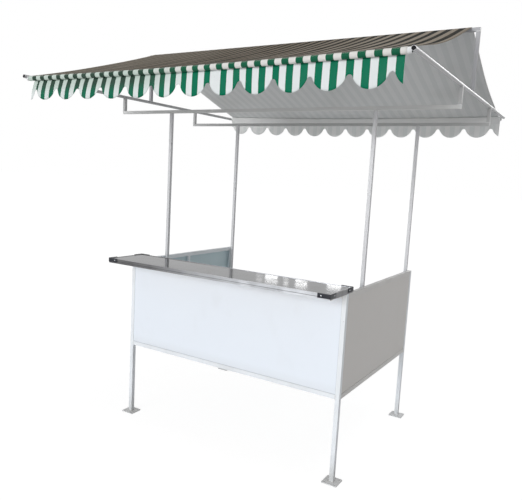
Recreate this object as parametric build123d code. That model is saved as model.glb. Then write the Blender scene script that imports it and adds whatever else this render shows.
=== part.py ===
"""Market stall: a steel tube booth with a counter in front and a striped gable canopy on posts.

Millimetres, +Z up, the front faces -Y. The origin is on the floor, at the middle of the booth.
"""

from build123d import *
from dataclasses import dataclass
from math import acos, degrees
import os

# ---- driving dimensions ----------------------------------------------------------------------

# Booth: four legs with framed infill sheets on three sides, over the outer faces of the legs.
booth_width = 1530.0
booth_depth = 1140.0
booth_tube = 25.0
booth_wall = 1.5
skirt_height = 473.0  # floor to the underside of the bottom rails
stile_tube = 20.0
stile_wall = 1.2
sheet_thickness = 1.2
sheet_recess = 2.0  # outer face of a sheet behind the outer face of its frame
sheet_clearance = 0.5

# Feet: square plates, welded under the legs and drilled for anchors.
foot_width = 90.0
foot_thickness = 5.0
foot_corner_radius = 6.0
anchor_pitch = 62.0
anchor_hole_radius = 4.5

# Counter: a board with a metal sheet on top, angle trim on its edges and corner guards. Its ends
# are flush with the booth.
counter_depth = 298.0  # over the corner guards
counter_height = 1080.0
counter_thickness = 28.0
counter_overhang = 225.0  # in front of the centre line of the front legs
counter_sheet = 1.0
trim_wall = 1.5
trim_lip = 10.0
trim_clearance = 0.2
guard_leg = 72.0
guard_wall = 2.5
guard_rise = 3.0  # above the trim
guard_corner_radius = 4.0
arm_tube = 20.0
arm_wall = 1.2
arm_length = 125.0
arm_end_margin = 165.0  # outer arms in from the ends of the counter

# Upper frame: posts inside the booth, cross beams, risers, round end rails, king posts, a ridge.
upper_tube = 20.0
upper_wall = 1.2
front_post_setback = 290.0  # behind the centre line of the front legs
back_post_lead = 15.0  # in front of the centre line of the back legs
eave_height = 2155.0  # centre of the end rails
riser_length = 99.0  # top faces of the cross beams to the centre of the end rails
ridge_rise = 345.0  # centre of the end rails to the top of the ridge bar
canopy_side_overhang = 417.5  # outer faces of the risers beyond the booth
canopy_eave_overhang = 517.5  # centre lines of the eave bars beyond those of the legs
rail_radius = 10.65
rail_wall = 1.6
rail_overrun = 10.0  # ends of the end rails beyond the eave bars
cope_clearance = 0.1  # between a rail and the hollowed end of a riser or king post

# Round bars between the ends of the end rails, lower than the rails. Rails and bars have plugs.
bar_radius = 12.7
bar_wall = 2.0
bar_drop = 8.0  # centre of the bars below that of the end rails
plug_length = 15.0
plug_clearance = 0.1

# Cover: coated fabric over the ridge and round both bars, with a scalloped valance at each eave.
cover_side_gap = 18.5  # between the cover's edge and the king posts
cover_thickness = 1.5
cover_clearance = 0.3
cover_sag = 16.0
valance_thickness = 1.2
scallop_depth = 62.0
scallop_notch_radius = 15.0
scallop_count = 12
valance_drop = 130.5  # centre of the bar to the bottom of the scallops
valance_tuck = 3.3  # top edge of a valance, under the slope, above the top of the wrapped bar


@dataclass(frozen=True)
class Valance:
    """Layout of one valance: whole scallops between two part scallops.

    Args:
        pitch: width of one scallop.
        left_part: width of the part scallop at the -X end.
        right_part: width of the part scallop at the +X end.
        shift: middle of the whole scallops from the middle of the stall.
    """

    pitch: float
    left_part: float
    right_part: float
    shift: float


front_layout = Valance(pitch=182.7, left_part=28.6, right_part=50.0, shift=-13.2)
back_layout = Valance(pitch=187.0, left_part=8.0, right_part=55.0, shift=-20.0)

# ---- levels and lines worked out from them ---------------------------------------------------

leg_x = (booth_width - booth_tube) / 2
leg_y = (booth_depth - booth_tube) / 2
frame_inner_x = booth_width / 2 - booth_tube
frame_inner_y = booth_depth / 2 - booth_tube
frame_top = counter_height - counter_thickness
top_rail_z = frame_top - booth_tube / 2
bottom_rail_z = skirt_height + booth_tube / 2
opening_bottom = skirt_height + booth_tube
opening_height = frame_top - booth_tube - opening_bottom
opening_mid_z = opening_bottom + opening_height / 2
sheet_mid = sheet_recess + sheet_thickness / 2
stile_mid = sheet_recess + sheet_thickness + stile_tube / 2

counter_length = booth_width
counter_front_y = -leg_y - counter_overhang
counter_mid_y = counter_front_y + counter_depth / 2
trim_length = counter_length - 2 * guard_wall
trim_depth = counter_depth - 2 * guard_wall
board_thickness = counter_thickness - trim_wall - counter_sheet
arm_x = counter_length / 2 - arm_end_margin

post_x = frame_inner_x - upper_tube / 2
front_post_y = -leg_y + front_post_setback
back_post_y = leg_y - back_post_lead
canopy_width = booth_width + 2 * canopy_side_overhang
rail_x = (canopy_width - upper_tube) / 2
beam_top = eave_height - riser_length
beam_bottom = beam_top - upper_tube
ridge_height = eave_height + ridge_rise
ridge_bottom = ridge_height - upper_tube
bar_y = leg_y + canopy_eave_overhang
bar_z = eave_height - bar_drop
bar_length = 2 * (rail_x - rail_radius)
rail_length = 2 * (bar_y + bar_radius + rail_overrun)
wrap_radius = bar_radius + cover_clearance
valance_y = bar_y - wrap_radius - cover_thickness - cover_clearance - valance_thickness / 2
valance_top = wrap_radius + valance_tuck
cover_width = canopy_width - 2 * (upper_tube + cover_side_gap)

parts = {}


# ---- shapes that repeat ----------------------------------------------------------------------

def square_tube(size, wall, length, axis):
    """Hollow square tube about the origin.

    Args:
        size: outer side of the section.
        wall: wall thickness.
        length: length along the axis.
        axis: "x", "y" or "z".

    Returns:
        The tube as one solid.
    """
    plane = {"x": Plane.YZ, "y": Plane.XZ, "z": Plane.XY}[axis]
    section = Rectangle(size, size) - Rectangle(size - 2 * wall, size - 2 * wall)
    return extrude(plane * section, length / 2, both=True)


def round_tube(radius, wall, length, axis):
    """Hollow round tube about the origin.

    Args:
        radius: outer radius.
        wall: wall thickness.
        length: length along the axis.
        axis: "x" or "y".

    Returns:
        The tube as one solid.
    """
    plane = {"x": Plane.YZ, "y": Plane.XZ}[axis]
    return extrude(plane * (Circle(radius) - Circle(radius - wall)), length / 2, both=True)


def booth_member(length, axis):
    return square_tube(booth_tube, booth_wall, length, axis)


def upper_member(length, axis):
    return square_tube(upper_tube, upper_wall, length, axis)


# ---- booth -----------------------------------------------------------------------------------

def build_legs():
    """Four legs on their plates, from the plates up to the underside of the counter."""
    leg_length = frame_top - foot_thickness
    leg = booth_member(leg_length, "z")
    plate_section = RectangleRounded(foot_width, foot_width, foot_corner_radius)
    for hole in GridLocations(anchor_pitch, anchor_pitch, 2, 2):
        plate_section -= hole * Circle(anchor_hole_radius)
    plate = extrude(plate_section, foot_thickness)
    plates = []
    for row, y in (("front", -leg_y), ("back", leg_y)):
        for side, x in (("left", -leg_x), ("right", leg_x)):
            parts[f"{row}_{side}_leg"] = Pos(x, y, foot_thickness + leg_length / 2) * leg
            plates.append(Pos(x, y, 0) * plate)
    parts["foot_plates"] = Compound(children=plates)


def build_frames():
    """Top and bottom rails, a middle stile and an infill sheet on the front and both sides."""
    sheet_height = opening_height - 2 * sheet_clearance
    side_rail = booth_member(2 * frame_inner_y, "y")
    side_sheet = Box(sheet_thickness, 2 * (frame_inner_y - sheet_clearance), sheet_height)
    stile = square_tube(stile_tube, stile_wall, opening_height, "z")
    for side, sign in (("left", -1), ("right", 1)):
        outer = sign * booth_width / 2
        parts[f"{side}_top_rail"] = Pos(sign * leg_x, 0, top_rail_z) * side_rail
        parts[f"{side}_bottom_rail"] = Pos(sign * leg_x, 0, bottom_rail_z) * side_rail
        parts[f"{side}_stile"] = Pos(outer - sign * stile_mid, 0, opening_mid_z) * stile
        parts[f"{side}_panel"] = Pos(outer - sign * sheet_mid, 0, opening_mid_z) * side_sheet
    front_rail = booth_member(2 * frame_inner_x, "x")
    front_sheet = Box(2 * (frame_inner_x - sheet_clearance), sheet_thickness, sheet_height)
    front = -booth_depth / 2
    parts["front_top_rail"] = Pos(0, -leg_y, top_rail_z) * front_rail
    parts["front_bottom_rail"] = Pos(0, -leg_y, bottom_rail_z) * front_rail
    parts["front_stile"] = Pos(0, front + stile_mid, opening_mid_z) * stile
    parts["front_panel"] = Pos(0, front + sheet_mid, opening_mid_z) * front_sheet


# ---- counter ---------------------------------------------------------------------------------

def trim_angle(length):
    """Angle trim along X: an upright leg on the -Y side and a lip over the board, mitred ends."""
    upright = Pos(0, trim_wall / 2, -counter_thickness / 2) * Box(length, trim_wall, counter_thickness)
    lip = Pos(0, trim_lip / 2, -trim_wall / 2) * Box(length, trim_lip, trim_wall)
    angle = upright + lip
    for end in (-1, 1):
        corner = Pos(end * length / 2, 0, 0)
        mitre = Polyline((0, 0), (-end * 2 * trim_lip, 2 * trim_lip), (0, 2 * trim_lip), close=True)
        wedge = extrude(make_face(mitre), 2 * counter_thickness, both=True)
        angle -= corner * wedge
    return angle


def build_counter():
    """Board, metal sheet, four mitred trims, four corner guards and three arms under the front."""
    middle = Pos(0, counter_mid_y, 0)
    inset = 2 * (trim_wall + trim_clearance)
    length, depth = trim_length - inset, trim_depth - inset
    board_z = frame_top + board_thickness / 2
    sheet_z = frame_top + board_thickness + counter_sheet / 2
    parts["counter_board"] = middle * Pos(0, 0, board_z) * Box(length, depth, board_thickness)
    parts["counter_sheet"] = middle * Pos(0, 0, sheet_z) * Box(length, depth, counter_sheet)

    top = middle * Pos(0, 0, counter_height)
    long_trim, short_trim = trim_angle(trim_length), trim_angle(trim_depth)
    parts["counter_front_trim"] = top * Pos(0, -trim_depth / 2, 0) * long_trim
    parts["counter_back_trim"] = top * Rot(0, 0, 180) * Pos(0, -trim_depth / 2, 0) * long_trim
    parts["counter_right_trim"] = top * Rot(0, 0, 90) * Pos(0, -trim_length / 2, 0) * short_trim
    parts["counter_left_trim"] = top * Rot(0, 0, -90) * Pos(0, -trim_length / 2, 0) * short_trim

    parts["counter_corner_guards"] = Compound(children=corner_guards())

    arm = square_tube(arm_tube, arm_wall, arm_length, "y")
    arm_y = -booth_depth / 2 - arm_length / 2
    arms = [Pos(x, arm_y, frame_top - arm_tube / 2) * arm for x in (-arm_x, 0, arm_x)]
    parts["counter_arms"] = Compound(children=arms)


def corner_guards():
    """Four plastic guards, each bent round one corner of the counter."""
    outline = RectangleRounded(counter_length, counter_depth, guard_corner_radius)
    core = Rectangle(trim_length, trim_depth)
    reach_x, reach_y = counter_length / 2 - guard_leg / 2, counter_depth / 2 - guard_leg / 2
    guards = []
    for x in (-reach_x, reach_x):
        for y in (-reach_y, reach_y):
            section = (outline - core) & (Pos(x, y) * Rectangle(guard_leg, guard_leg))
            guard = extrude(section, counter_thickness + guard_rise)
            guards.append(Pos(0, counter_mid_y, frame_top) * guard)
    return guards


# ---- upper frame -----------------------------------------------------------------------------

def build_upper_frame():
    """Posts and beams, risers up to the end rails, king posts and the ridge bar on top."""
    post = upper_member(beam_bottom - skirt_height, "z")
    post_z = (beam_bottom + skirt_height) / 2
    beam = upper_member(canopy_width, "x")
    riser = coped_member(beam_top, eave_height)
    for row, y in (("front", front_post_y), ("back", back_post_y)):
        parts[f"{row}_left_post"] = Pos(-post_x, y, post_z) * post
        parts[f"{row}_right_post"] = Pos(post_x, y, post_z) * post
        parts[f"{row}_beam"] = Pos(0, y, beam_top - upper_tube / 2) * beam
        parts[f"{row}_risers"] = Compound(children=[Pos(x, y, 0) * riser for x in (-rail_x, rail_x)])
    rail = round_tube(rail_radius, rail_wall, rail_length, "y")
    king_post = coped_member(eave_height, ridge_bottom)
    for side, x in (("left", -rail_x), ("right", rail_x)):
        parts[f"{side}_end_rail"] = Pos(x, 0, eave_height) * rail
        parts[f"{side}_king_post"] = Pos(x, 0, 0) * king_post
    parts["ridge_bar"] = Pos(0, 0, ridge_bottom + upper_tube / 2) * upper_member(canopy_width, "x")


def coped_member(bottom, top):
    """Upright square tube on the Z axis, with its end at the end rails hollowed to fit them.

    Args:
        bottom: height of its lower end.
        top: height of its upper end.

    Returns:
        The tube as one solid.
    """
    upright = Pos(0, 0, (bottom + top) / 2) * upper_member(top - bottom, "z")
    cope = Cylinder(rail_radius + cope_clearance, 2 * upper_tube, rotation=(90, 0, 0))
    return upright - Pos(0, 0, eave_height) * cope


def build_bars():
    """Round eave bars, and a plug flush in each end of the bars and of the end rails."""
    bar = round_tube(bar_radius, bar_wall, bar_length, "x")
    bar_plug = Rot(0, 90, 0) * Cylinder(bar_radius - bar_wall - plug_clearance, plug_length)
    rail_plug = Rot(90, 0, 0) * Cylinder(rail_radius - rail_wall - plug_clearance, plug_length)
    bar_plug_x = (bar_length - plug_length) / 2
    rail_plug_y = (rail_length - plug_length) / 2
    plugs = []
    for row, end in (("front", -1), ("back", 1)):
        parts[f"{row}_bar"] = Pos(0, end * bar_y, bar_z) * bar
        for side in (-1, 1):
            plugs.append(Pos(side * bar_plug_x, end * bar_y, bar_z) * bar_plug)
            plugs.append(Pos(side * rail_x, end * rail_plug_y, eave_height) * rail_plug)
    parts["end_plugs"] = Compound(children=plugs)


# ---- cover -----------------------------------------------------------------------------------

def slope_path():
    """Inner line of one half of the cover in the YZ plane, drawn for the +Y side.

    Returns:
        A wire from the ridge, down the sagging slope and round the bar to its inner side.
    """
    crest_edge = Vector(upper_tube / 2 + cover_clearance, ridge_height + cover_clearance)
    bar = Vector(bar_y, bar_z)
    # The chord touches the top of the wrapped bar, so it leaves the bar's centre by the wrap radius.
    to_crest = crest_edge - bar
    turn = degrees(acos(wrap_radius / to_crest.length))
    outward = to_crest.normalized().rotate(Axis.Z, -turn)
    touch = bar + outward * wrap_radius
    lowest = (crest_edge + touch) * 0.5 - outward * cover_sag
    crest = Line((0, crest_edge.Y), crest_edge)
    slope = ThreePointArc(crest_edge, lowest, touch)
    wrap = ThreePointArc(touch, bar - Vector(0, wrap_radius), bar - Vector(wrap_radius, 0))
    return Wire([crest.edge(), slope.edge(), wrap.edge()])


def build_cover():
    """The two halves of the cover, which meet over the ridge."""
    half = offset(slope_path(), cover_thickness, side=Side.LEFT, closed=True)
    section = make_face(half)
    back = extrude(Plane.YZ * section, cover_width / 2, both=True)
    parts["back_cover"] = back
    parts["front_cover"] = mirror(back, Plane.XZ)


def valance(layout):
    """Flat strip in the XZ plane with a scalloped lower edge, about the centre line of its bar.

    Args:
        layout: the Valance to draw.

    Returns:
        The strip as one solid, with its thickness centred on y = 0.
    """
    low = -valance_drop
    notch_z = low + scallop_depth
    left = -scallop_count * layout.pitch / 2 - layout.left_part
    right = scallop_count * layout.pitch / 2 + layout.right_part
    strip = Pos((left + right) / 2, (valance_top + notch_z) / 2)
    strip *= Rectangle(right - left, valance_top - notch_z)
    edge_band = Pos((left + right) / 2, (low + notch_z) / 2) * Rectangle(right - left, scallop_depth)
    lobe = Pos(0, low) * scallop(layout.pitch / 2)
    outline = strip
    for index in range(-1, scallop_count + 1):
        outline += (Pos((index - (scallop_count - 1) / 2) * layout.pitch, 0) * lobe) & edge_band
    return Pos(layout.shift, 0, 0) * extrude(Plane.XZ * outline, valance_thickness / 2, both=True)


def scallop(half_pitch):
    """Scallop from its lowest point, at the origin, up to the tops of the round notches beside it.

    Args:
        half_pitch: half the distance between the two notches.

    Returns:
        The scallop as one face.
    """
    chord_radius = (half_pitch**2 + scallop_depth**2) / (2 * scallop_depth)
    share = 1 - scallop_notch_radius / chord_radius
    joint_x, joint_z = half_pitch * share, scallop_depth * share
    belly = ThreePointArc((-joint_x, joint_z), (0, 0), (joint_x, joint_z))
    right_notch = TangentArc((joint_x, joint_z), (half_pitch, scallop_depth), tangent=belly % 1)
    left_notch = mirror(right_notch, Plane.YZ)
    top = Line((-half_pitch, scallop_depth), (half_pitch, scallop_depth))
    return make_face([belly.edge(), right_notch.edge(), top.edge(), left_notch.edge()])


def build_valances():
    """A valance behind the front bar and one behind the back bar, sewn on under the slope."""
    parts["front_valance"] = Pos(0, -valance_y, bar_z) * valance(front_layout)
    parts["back_valance"] = Pos(0, valance_y, bar_z) * valance(back_layout)


# ---- build and write -------------------------------------------------------------------------

build_legs()
build_frames()
build_counter()
build_upper_frame()
build_bars()
build_cover()
build_valances()

os.makedirs("parts", exist_ok=True)
for name, shape in parts.items():
    export_step(shape, f"parts/{name}.step")
print(len(parts), "nodes")
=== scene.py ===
"""Looks of a steel tube market stall: canopy cloth, fixings, finishes, camera and studio.

Metres, +Z up. The front faces -Y and the origin is on the floor at the middle of the booth.
"""

import logging
import math
from dataclasses import dataclass, field
from enum import Enum
from typing import Sequence, Union

import bmesh
import bpy
from bmesh.types import BMEdge, BMesh, BMVert
from bpy.types import Light, Material, Node, NodeSocket, NodeTree, Object
from mathutils import Matrix, Vector

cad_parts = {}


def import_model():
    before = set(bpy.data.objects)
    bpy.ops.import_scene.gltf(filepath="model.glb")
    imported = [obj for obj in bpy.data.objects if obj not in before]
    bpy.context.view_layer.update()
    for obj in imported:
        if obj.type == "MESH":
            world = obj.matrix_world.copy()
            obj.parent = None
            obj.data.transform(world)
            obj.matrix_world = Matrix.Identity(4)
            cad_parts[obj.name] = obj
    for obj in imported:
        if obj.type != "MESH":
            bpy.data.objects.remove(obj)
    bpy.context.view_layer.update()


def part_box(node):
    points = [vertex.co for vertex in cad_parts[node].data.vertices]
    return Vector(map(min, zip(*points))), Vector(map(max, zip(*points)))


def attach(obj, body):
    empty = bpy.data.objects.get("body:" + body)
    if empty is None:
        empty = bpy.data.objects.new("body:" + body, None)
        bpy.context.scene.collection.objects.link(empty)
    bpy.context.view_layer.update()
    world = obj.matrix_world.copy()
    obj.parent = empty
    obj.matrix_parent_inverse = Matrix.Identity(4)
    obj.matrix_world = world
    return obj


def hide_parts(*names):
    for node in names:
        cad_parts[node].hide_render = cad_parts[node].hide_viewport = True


log = logging.getLogger("stall")

ROOT = "root"
MM = 0.001
OFF_STALL = 9.0  # a place beyond the stall on any axis, for a mark that a piece lacks
UP = Vector((0, 0, 1))
RIGHT = Vector((1, 0, 0))
SIDES = ((-1.0, "left"), (1.0, "right"))
LEGS = ("front_left_leg", "front_right_leg", "back_left_leg", "back_right_leg")

Colour = tuple[float, float, float, float]
Feed = Union[NodeSocket, float, Colour, tuple[float, float, float]]
Span = tuple[float, float]


def paint(red: int, green: int, blue: int) -> Colour:
    """Gives the linear colour of a display colour.

    Args:
        red: red from 0 to 255.
        green: green from 0 to 255.
        blue: blue from 0 to 255.

    Returns:
        Red, green, blue and alpha for a shader's socket.
    """
    def linear(value: float) -> float:
        """Undoes the display curve of one channel."""
        return value / 12.92 if value <= 0.04045 else ((value + 0.055) / 1.055) ** 2.4

    return (linear(red / 255), linear(green / 255), linear(blue / 255), 1.0)


class Slot(Enum):
    """Material slots of the record, passed with the added pieces."""

    WHITE_TUBE = "white_tube"
    COUNTER_TRIM = "counter_trim"
    BLACK_PLASTIC = "black_plastic"
    STRIPED_FABRIC = "striped_fabric"


class Axis(Enum):
    """Level axes of the stall, as places in a vector."""

    X = 0
    Y = 1


# ---- shading ---------------------------------------------------------------------------------


class Nodes:
    """Nodes and links of one tree."""

    def __init__(self, tree: NodeTree) -> None:
        """Takes the tree that the nodes go in."""
        self.tree = tree

    def node(self, kind: str, **settings: object) -> Node:
        """Adds a node and sets its options.

        Args:
            kind: the node's type.
            settings: options of the node by name.

        Returns:
            The node.
        """
        made = self.tree.nodes.new(kind)
        for key, value in settings.items():
            setattr(made, key, value)
        return made

    def feed(self, socket: NodeSocket, value: Feed) -> None:
        """Links a socket to another, or sets it to a constant.

        Args:
            socket: what is fed.
            value: the other socket or the constant.
        """
        if isinstance(value, NodeSocket):
            self.tree.links.new(value, socket)
        else:
            socket.default_value = value

    def math(self, operation: str, first: Feed, second: Feed = 0.0, clamp: bool = False) -> NodeSocket:
        """Adds a Math node.

        Args:
            operation: the node's operation.
            first: first operand.
            second: second operand.
            clamp: whether the result stays from 0 to 1.

        Returns:
            The result.
        """
        made = self.node("ShaderNodeMath", operation=operation, use_clamp=clamp)
        self.feed(made.inputs[0], first)
        self.feed(made.inputs[1], second)
        return made.outputs[0]


class Shader(Nodes):
    """One material's nodes round a Principled surface."""

    def __init__(self, name: str) -> None:
        """Starts a material.

        Args:
            name: the material's name.
        """
        self.material = bpy.data.materials.new(name)
        self.material.use_nodes = True
        super().__init__(self.material.node_tree)
        self.surface = self.tree.nodes["Principled BSDF"]

    def set(self, **inputs: Feed) -> None:
        """Feeds inputs of the surface, named with underscores for spaces."""
        for key, value in inputs.items():
            self.feed(self.surface.inputs[key.replace("_", " ")], value)

    def place(self) -> NodeSocket:
        """Gives the place on the stall, in metres."""
        return self.node("ShaderNodeTexCoord").outputs["Object"]

    def flat_place(self) -> NodeSocket:
        """Gives the place on the flat cloth, in metres."""
        return self.node("ShaderNodeTexCoord").outputs["UV"]

    def split(self, vector: NodeSocket) -> list[NodeSocket]:
        """Splits a vector.

        Args:
            vector: the vector.

        Returns:
            Its three parts.
        """
        made = self.node("ShaderNodeSeparateXYZ")
        self.feed(made.inputs[0], vector)
        return list(made.outputs)

    def stretched(self, vector: NodeSocket, scale: tuple[float, float, float]) -> NodeSocket:
        """Scales a place along each axis.

        Args:
            vector: the place.
            scale: factor on each axis.

        Returns:
            The scaled place.
        """
        made = self.node("ShaderNodeMapping")
        self.feed(made.inputs["Vector"], vector)
        made.inputs["Scale"].default_value = scale
        return made.outputs["Vector"]

    def noise(self, place: NodeSocket, scale: float, detail: float = 2.0) -> NodeSocket:
        """Adds a noise texture.

        Args:
            place: where it is read.
            scale: repeats in a metre.
            detail: octaves.

        Returns:
            Its value from 0 to 1.
        """
        made = self.node("ShaderNodeTexNoise")
        self.feed(made.inputs["Vector"], place)
        made.inputs["Scale"].default_value = scale
        made.inputs["Detail"].default_value = detail
        return made.outputs[0]

    def rescaled(self, value: Feed, old: Span, new: Span) -> NodeSocket:
        """Maps one range to another, smoothly and with its ends held.

        Args:
            value: what is mapped.
            old: range that the value comes in.
            new: range that the result has.

        Returns:
            The mapped value.
        """
        made = self.node("ShaderNodeMapRange", interpolation_type="SMOOTHSTEP")
        for index, item in enumerate((value, *old, *new)):
            self.feed(made.inputs[index], item)
        return made.outputs[0]

    def blend(self, share: Feed, first: Feed, second: Feed, how: str = "MIX") -> NodeSocket:
        """Mixes two colours.

        Args:
            share: share of the second.
            first: colour at 0.
            second: colour at 1.
            how: the blend type.

        Returns:
            The mixed colour.
        """
        made = self.node("ShaderNodeMix", data_type="RGBA", blend_type=how)
        for index, item in ((0, share), (6, first), (7, second)):
            self.feed(made.inputs[index], item)
        return made.outputs[2]

    def toned(
        self, colour: Feed, other: Feed, value: Feed, old: Span, share: Span, how: str = "MIX"
    ) -> NodeSocket:
        """Mixes another colour in by where a value lies in a range.

        Args:
            colour: the colour to start from.
            other: the colour that is mixed in.
            value: what decides its share.
            old: range of that value.
            share: share of the other colour at both ends of the range.
            how: the blend type.

        Returns:
            The mixed colour.
        """
        return self.blend(self.rescaled(value, old, share), colour, other, how)

    def bump(self, height: NodeSocket, depth: float, base: NodeSocket | None = None) -> NodeSocket:
        """Turns a height into a normal.

        Args:
            height: height from 0 to 1.
            depth: metres from lowest to highest.
            base: normal under the bump.

        Returns:
            The normal.
        """
        made = self.node("ShaderNodeBump")
        made.inputs["Distance"].default_value = depth
        self.feed(made.inputs["Height"], height)
        if base is not None:
            self.feed(made.inputs["Normal"], base)
        return made.outputs[0]

    def rounded(self, radius: float) -> NodeSocket:
        """Rounds sharp edges.

        Args:
            radius: radius of the rounding.

        Returns:
            The normal.
        """
        made = self.node("ShaderNodeBevel", samples=4)
        made.inputs["Radius"].default_value = radius
        return made.outputs[0]


@dataclass(frozen=True)
class Finish:
    """A finish of the stall.

    Attributes:
        name: the material's name.
    """

    name: str


@dataclass(frozen=True)
class PaintedSteel(Finish):
    """Brushed-on gloss enamel or powder coat on tube and plate.

    Attributes:
        coat: colour of clean paint.
        grime: colour of dust patches, specks and the dust near the floor.
        roughness: roughness of clean paint.
        sheen: specular level.
        grime_height: height over the floor where the dust thins out.
        edge_radius: radius of the tube's rolled corners.
    """

    coat: Colour = paint(240, 242, 242)
    grime: Colour = paint(150, 146, 138)
    roughness: float = 0.32
    sheen: float = 0.5
    grime_height: float = 0.16
    edge_radius: float = 1.6 * MM

    def build(self) -> Material:
        """Makes the material.

        Returns:
            The material.
        """
        shader = Shader(self.name)
        place = shader.place()
        clouds = shader.noise(place, 3.5, 4.0)
        specks = shader.rescaled(shader.noise(place, 90.0, 3.0), (0.70, 0.78), (0.0, 0.5))
        low = shader.rescaled(shader.split(place)[2], (0.0, self.grime_height), (0.35, 0.0))
        film = shader.rescaled(clouds, (0.45, 0.75), (0.0, 0.16))
        grime_and_shade = shader.math("ADD", shader.math("ADD", film, low), specks, clamp=True)
        colour = shader.blend(grime_and_shade, self.coat, self.grime)
        gloss = shader.rescaled(clouds, (0.3, 0.8), (self.roughness, self.roughness + 0.18))
        peel = shader.noise(place, 420.0, 2.0)
        normal = shader.bump(peel, 0.06 * MM, shader.rounded(self.edge_radius))
        shader.set(Base_Color=colour, Roughness=gloss, Normal=normal, Specular_IOR_Level=self.sheen)
        return shader.material


@dataclass(frozen=True)
class PanelFinish(Finish):
    """Infill sheet: gloss white on its outer face and a thin blue-grey primer inside.

    Attributes:
        axis: axis across the sheet.
        divide: place of the sheet's middle on that axis.
        outward: 1 where the outer face is on the high side, else -1.
        face: colour of the outer face.
        primer: colour of the inner face.
        thin: colour of the primer where it is thin.
        dust: colour of rubbed dust on both.
        low: height of the joint under the sheet.
        far: place of the joint at the sheet's +X end.
        seam: width of the painted shade line at those joints.
        shade: colour of that painted shade.
    """

    axis: Axis
    divide: float
    outward: int
    face: Colour = paint(232, 238, 246)
    primer: Colour = paint(196, 214, 219)
    thin: Colour = paint(172, 192, 200)
    dust: Colour = paint(178, 176, 168)
    low: float = -OFF_STALL
    far: float = OFF_STALL
    seam: float = 3.0 * MM
    shade: Colour = paint(60, 64, 70)

    def build(self) -> Material:
        """Makes the material.

        Returns:
            The material.
        """
        shader = Shader(self.name)
        place = shader.place()
        parts = shader.split(place)
        across = parts[self.axis.value]
        side = "GREATER_THAN" if self.outward > 0 else "LESS_THAN"
        outer = shader.math(side, across, self.divide)
        clouds = shader.noise(place, 1.7, 5.0)
        inside = shader.toned(self.primer, self.thin, clouds, (0.3, 0.7), (0.0, 0.35))
        base = shader.blend(outer, inside, self.face)
        rubbed = shader.noise(shader.stretched(place, (1.0, 1.0, 0.6)), 7.0, 6.0)
        grime_and_shade = shader.rescaled(rubbed, (0.55, 0.85), (0.0, 0.07))
        edge = shader.rescaled(parts[2], (0.50, 0.56), (0.10, 0.0))
        colour = shader.blend(shader.math("ADD", grime_and_shade, edge, clamp=True), base, self.dust)
        # Painted shade along the joint under the sheet and at its +X end.
        under = shader.rescaled(parts[2], (self.low + self.seam / 2, self.low + self.seam), (0.42, 0.0))
        beside = shader.rescaled(parts[0], (self.far - self.seam, self.far - self.seam / 2), (0.0, 0.35))
        colour = shader.blend(shader.math("MAXIMUM", under, beside), colour, self.shade)
        gloss = shader.rescaled(clouds, (0.3, 0.75), (0.36, 0.44))
        waves = shader.bump(shader.noise(place, 2.6, 1.0), 0.6 * MM)
        normal = shader.bump(shader.noise(place, 380.0, 2.0), 0.05 * MM, waves)
        shader.set(Base_Color=colour, Roughness=gloss, Normal=normal)
        return shader.material


@dataclass(frozen=True)
class BrushedMetal(Finish):
    """Bare rolled metal with fine lines along one axis.

    Attributes:
        along: axis of the lines.
        tint: colour of clean metal.
        stain: colour of smudges and dull marks.
        roughness: roughness of clean metal.
        line_depth: depth of the lines.
        smudge: share of the stain in the deepest smudges.
        dark_reflection_end: painted reflection, a darker colour towards the -X end, if it differs.
        groove: height of a rolled groove, with painted shade along it.
        grime_and_shade: colour of that painted shade.
        rim: share of the light that it mirrors at a flat angle.
    """

    along: Axis
    tint: Colour = paint(165, 166, 168)
    stain: Colour = paint(136, 135, 132)
    roughness: float = 0.12
    line_depth: float = 0.01 * MM
    smudge: float = 0.14
    dark_reflection_end: Colour | None = None
    groove: float = -OFF_STALL
    grime_and_shade: Colour = paint(70, 70, 72)
    rim: float = 1.0

    def build(self) -> Material:
        """Makes the material.

        Returns:
            The material.
        """
        shader = Shader(self.name)
        place = shader.place()
        scale = [420.0, 420.0, 420.0]
        scale[self.along.value] = 6.0
        lines = shader.noise(shader.stretched(place, tuple(scale)), 1.0, 3.0)
        smudges = shader.noise(place, 9.0, 5.0)
        marks = shader.rescaled(smudges, (0.46, 0.72), (0.0, self.smudge))
        across, _, up = shader.split(place)
        tint = self.tint
        # Painted reflection: the metal darker towards the -X end.
        if self.dark_reflection_end is not None:
            tint = shader.toned(self.tint, self.dark_reflection_end, across, (-0.55, 0.35), (1.0, 0.0))
        # Painted shade along the groove.
        off_groove = shader.math("ABSOLUTE", shader.math("SUBTRACT", up, self.groove))
        tint = shader.toned(tint, self.grime_and_shade, off_groove, (0.8 * MM, 2.0 * MM), (0.75, 0.0))
        colour = shader.blend(marks, tint, self.stain)
        colour = shader.toned(colour, self.stain, lines, (0.35, 0.7), (0.0, 0.25))
        dull = shader.rescaled(smudges, (0.35, 0.75), (self.roughness, 2.0 * self.roughness))
        gloss = shader.math("ADD", dull, shader.rescaled(lines, (0.3, 0.7), (0.0, 0.06)))
        normal = shader.bump(lines, self.line_depth)
        shader.set(Base_Color=colour, Roughness=gloss, Normal=normal, Metallic=1.0)
        shader.set(Specular_Tint=(self.rim, self.rim, self.rim, 1.0))
        return shader.material


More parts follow.
